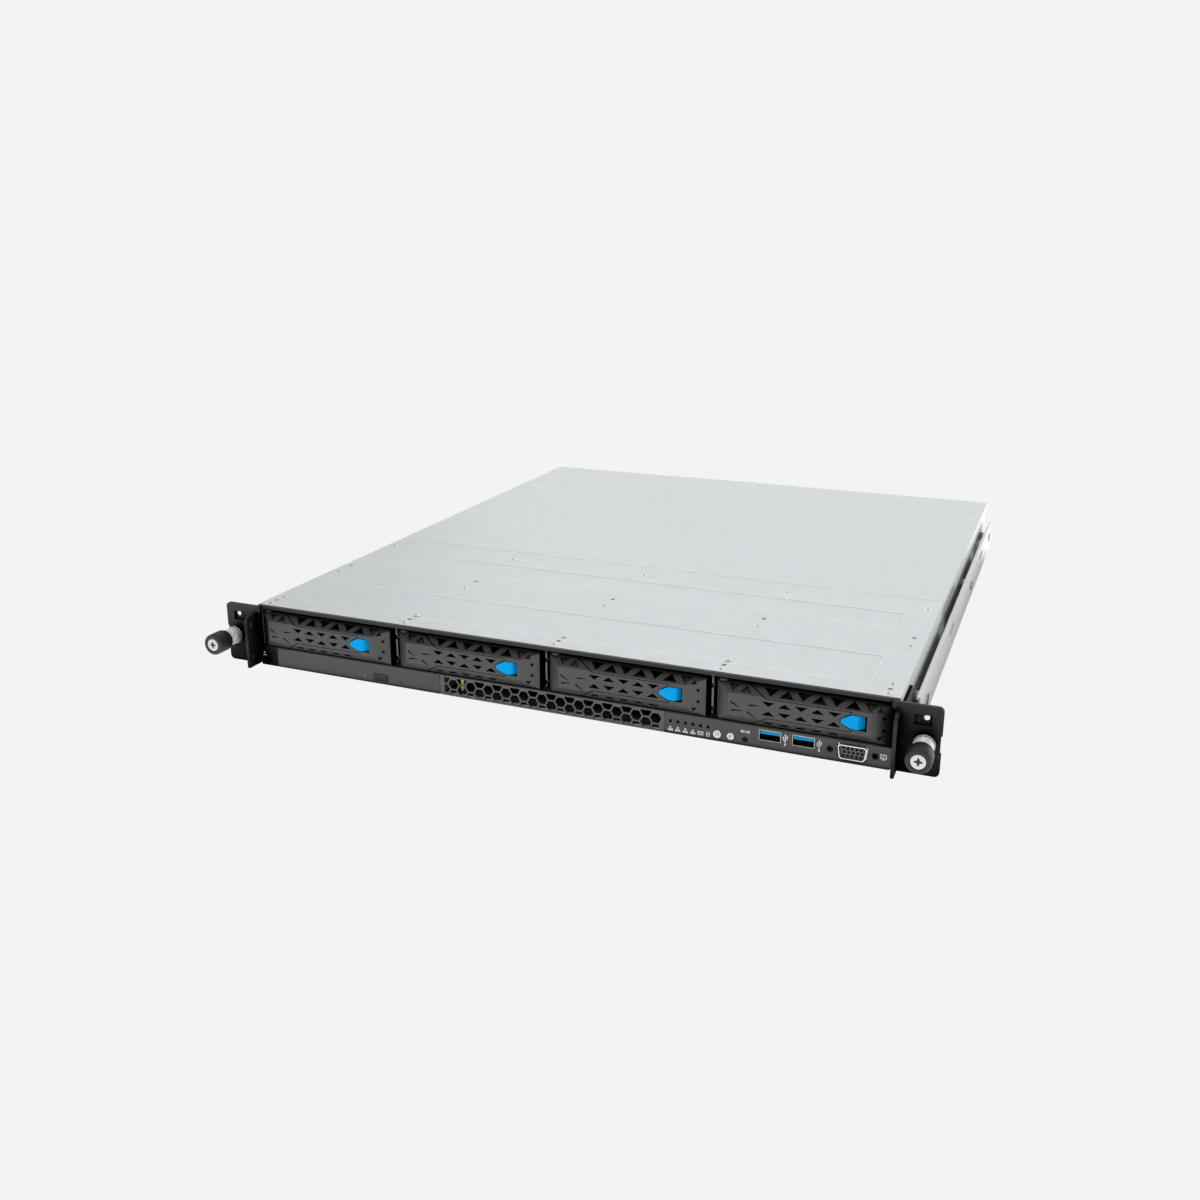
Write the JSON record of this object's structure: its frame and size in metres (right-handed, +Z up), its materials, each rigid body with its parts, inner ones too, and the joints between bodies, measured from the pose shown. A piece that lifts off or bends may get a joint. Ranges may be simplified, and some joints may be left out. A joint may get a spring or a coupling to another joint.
{
  "type": "1u rack server",
  "caption": "One-unit rack server with front drive trays on slides, a slim optical drive, a port panel, captive ear screws, side rails and a sliding rear cover.",
  "frame": {"origin": "centre of the bounding box, on the underside of the chassis", "axes": "+X to the right seen from the front, +Y from the front panels to the rear, +Z up"},
  "size_m": [0.4826, 0.5464, 0.0435],
  "materials": {
    "zinc_sheet": "galvanised sheet, satin",
    "black_steel": "black powder coat",
    "black_plastic": "fine grained black plastic",
    "grey_fascia": "smooth dark grey plastic",
    "steel_hardware": "nickel plated",
    "knob_black": "knurled black plastic",
    "grille_grey": "dark grey paint",
    "blue_button": "blue plastic",
    "white_button": "white plastic",
    "socket_insert": "dark contact insulator",
    "circuit_board": "solder mask",
    "drive_body": "cast aluminium case",
    "heatsink_metal": "extruded aluminium"
  },
  "bodies": {
    "chassis": {"chassis_base": "zinc_sheet", "front_frame": "black_steel", "drive_cage": "zinc_sheet", "front_top_cover": "zinc_sheet", "rivets": "steel_hardware", "left_side_rail": "zinc_sheet", "right_side_rail": "zinc_sheet", "left_ear": "black_steel", "right_ear": "black_steel", "ear_sleeves": "steel_hardware", "front_grille": "grille_grey", "port_panel": "grey_fascia", "port_board": "circuit_board", "usb_sockets": "steel_hardware", "display_socket": "steel_hardware", "display_insert": "socket_insert", "optical_case": "zinc_sheet", "backplane": "circuit_board", "fan_frames": "black_plastic", "main_board": "circuit_board", "cpu_heatsink": "heatsink_metal", "memory_modules": "circuit_board", "riser_bracket": "zinc_sheet", "rear_ports": "steel_hardware", "psu_case": "zinc_sheet", "psu_handle": "black_plastic"},
    "tray_1": {"drive_tray_1": "black_plastic", "hard_drive_1": "drive_body"},
    "lever_1": {"tray_lever_1": "black_plastic"},
    "latch_1": {"tray_latch_1": "blue_button"},
    "tray_2": {"drive_tray_2": "black_plastic", "hard_drive_2": "drive_body"},
    "lever_2": {"tray_lever_2": "black_plastic"},
    "latch_2": {"tray_latch_2": "blue_button"},
    "tray_3": {"drive_tray_3": "black_plastic", "hard_drive_3": "drive_body"},
    "lever_3": {"tray_lever_3": "black_plastic"},
    "latch_3": {"tray_latch_3": "blue_button"},
    "tray_4": {"drive_tray_4": "black_plastic", "hard_drive_4": "drive_body"},
    "lever_4": {"tray_lever_4": "black_plastic"},
    "latch_4": {"tray_latch_4": "blue_button"},
    "left_seat": {"left_spring_seat": "steel_hardware"},
    "left_screw": {"left_thumbscrew": "knob_black"},
    "right_seat": {"right_spring_seat": "steel_hardware"},
    "right_screw": {"right_thumbscrew": "knob_black"},
    "rear_cover": {"rear_top_cover": "zinc_sheet", "cover_screw": "steel_hardware"},
    "disc_tray": {"optical_tray": "black_plastic", "optical_bezel": "grey_fascia"},
    "eject_button": {"optical_button": "grey_fascia"},
    "power_key": {"power_button": "white_button"},
    "id_key": {"id_button": "white_button"},
    "reset_key": {"reset_button": "black_plastic"},
    "rotor_1": {"fan_rotor_1": "black_plastic"},
    "rotor_2": {"fan_rotor_2": "black_plastic"},
    "rotor_3": {"fan_rotor_3": "black_plastic"},
    "rotor_4": {"fan_rotor_4": "black_plastic"},
    "psu_rotor": {"psu_fan_rotor": "black_plastic"}
  },
  "joints": [
    {"name": "tray_slide_1", "type": "slide", "parent": "chassis", "child": "tray_1", "axis": [0, -1, 0], "range_m": [0, 0.165]},
    {"name": "lever_swing_1", "type": "hinge", "parent": "tray_1", "child": "lever_1", "pos_m": [-0.2097, -0.239, 0.0272], "axis": [0, 0, -1], "range_deg": [0, 50]},
    {"name": "latch_push_1", "type": "slide", "parent": "tray_1", "child": "latch_1", "axis": [1, 0, 0], "range_m": [0, 0.002], "stiffness_N_per_m": 250},
    {"name": "tray_slide_2", "type": "slide", "parent": "chassis", "child": "tray_2", "axis": [0, -1, 0], "range_m": [0, 0.165]},
    {"name": "lever_swing_2", "type": "hinge", "parent": "tray_2", "child": "lever_2", "pos_m": [-0.1012, -0.239, 0.0272], "axis": [0, 0, -1], "range_deg": [0, 50]},
    {"name": "latch_push_2", "type": "slide", "parent": "tray_2", "child": "latch_2", "axis": [1, 0, 0], "range_m": [0, 0.002], "stiffness_N_per_m": 250},
    {"name": "tray_slide_3", "type": "slide", "parent": "chassis", "child": "tray_3", "axis": [0, -1, 0], "range_m": [0, 0.165]},
    {"name": "lever_swing_3", "type": "hinge", "parent": "tray_3", "child": "lever_3", "pos_m": [0.0073, -0.239, 0.0272], "axis": [0, 0, -1], "range_deg": [0, 50]},
    {"name": "latch_push_3", "type": "slide", "parent": "tray_3", "child": "latch_3", "axis": [1, 0, 0], "range_m": [0, 0.002], "stiffness_N_per_m": 250},
    {"name": "tray_slide_4", "type": "slide", "parent": "chassis", "child": "tray_4", "axis": [0, -1, 0], "range_m": [0, 0.165]},
    {"name": "lever_swing_4", "type": "hinge", "parent": "tray_4", "child": "lever_4", "pos_m": [0.1158, -0.239, 0.0272], "axis": [0, 0, -1], "range_deg": [0, 50]},
    {"name": "latch_push_4", "type": "slide", "parent": "tray_4", "child": "latch_4", "axis": [1, 0, 0], "range_m": [0, 0.002], "stiffness_N_per_m": 250},
    {"name": "left_screw_push", "type": "slide", "parent": "chassis", "child": "left_seat", "axis": [0, 1, 0], "range_m": [0, 0.006], "stiffness_N_per_m": 250},
    {"name": "left_screw_turn", "type": "hinge", "parent": "left_seat", "child": "left_screw", "pos_m": [-0.23255, -0.2538, 0.0214], "axis": [0, 1, 0], "continuous": true},
    {"name": "right_screw_push", "type": "slide", "parent": "chassis", "child": "right_seat", "axis": [0, 1, 0], "range_m": [0, 0.006], "stiffness_N_per_m": 250},
    {"name": "right_screw_turn", "type": "hinge", "parent": "right_seat", "child": "right_screw", "pos_m": [0.23255, -0.2538, 0.0214], "axis": [0, 1, 0], "continuous": true},
    {"name": "cover_slide", "type": "slide", "parent": "chassis", "child": "rear_cover", "axis": [0, 1, 0], "range_m": [0, 0.32]},
    {"name": "disc_tray_slide", "type": "slide", "parent": "chassis", "child": "disc_tray", "axis": [0, -1, 0], "range_m": [0, 0.115]},
    {"name": "eject_push", "type": "slide", "parent": "disc_tray", "child": "eject_button", "axis": [0, 1, 0], "range_m": [0, 0.0007], "stiffness_N_per_m": 400},
    {"name": "power_push", "type": "slide", "parent": "chassis", "child": "power_key", "axis": [0, 1, 0], "range_m": [0, 0.0008], "stiffness_N_per_m": 400},
    {"name": "id_push", "type": "slide", "parent": "chassis", "child": "id_key", "axis": [0, 1, 0], "range_m": [0, 0.0008], "stiffness_N_per_m": 400},
    {"name": "reset_push", "type": "slide", "parent": "chassis", "child": "reset_key", "axis": [0, 1, 0], "range_m": [0, 0.0008], "stiffness_N_per_m": 400},
    {"name": "fan_spin_1", "type": "hinge", "parent": "chassis", "child": "rotor_1", "pos_m": [-0.1632, -0.0438, 0.0213], "axis": [0, 1, 0], "continuous": true},
    {"name": "fan_spin_2", "type": "hinge", "parent": "chassis", "child": "rotor_2", "pos_m": [-0.0544, -0.0438, 0.0213], "axis": [0, 1, 0], "continuous": true},
    {"name": "fan_spin_3", "type": "hinge", "parent": "chassis", "child": "rotor_3", "pos_m": [0.0544, -0.0438, 0.0213], "axis": [0, 1, 0], "continuous": true},
    {"name": "fan_spin_4", "type": "hinge", "parent": "chassis", "child": "rotor_4", "pos_m": [0.1632, -0.0438, 0.0213], "axis": [0, 1, 0], "continuous": true},
    {"name": "psu_fan_spin", "type": "hinge", "parent": "chassis", "child": "psu_rotor", "pos_m": [-0.1862, 0.2462, 0.0212], "axis": [0, 1, 0], "continuous": true}
  ]
}
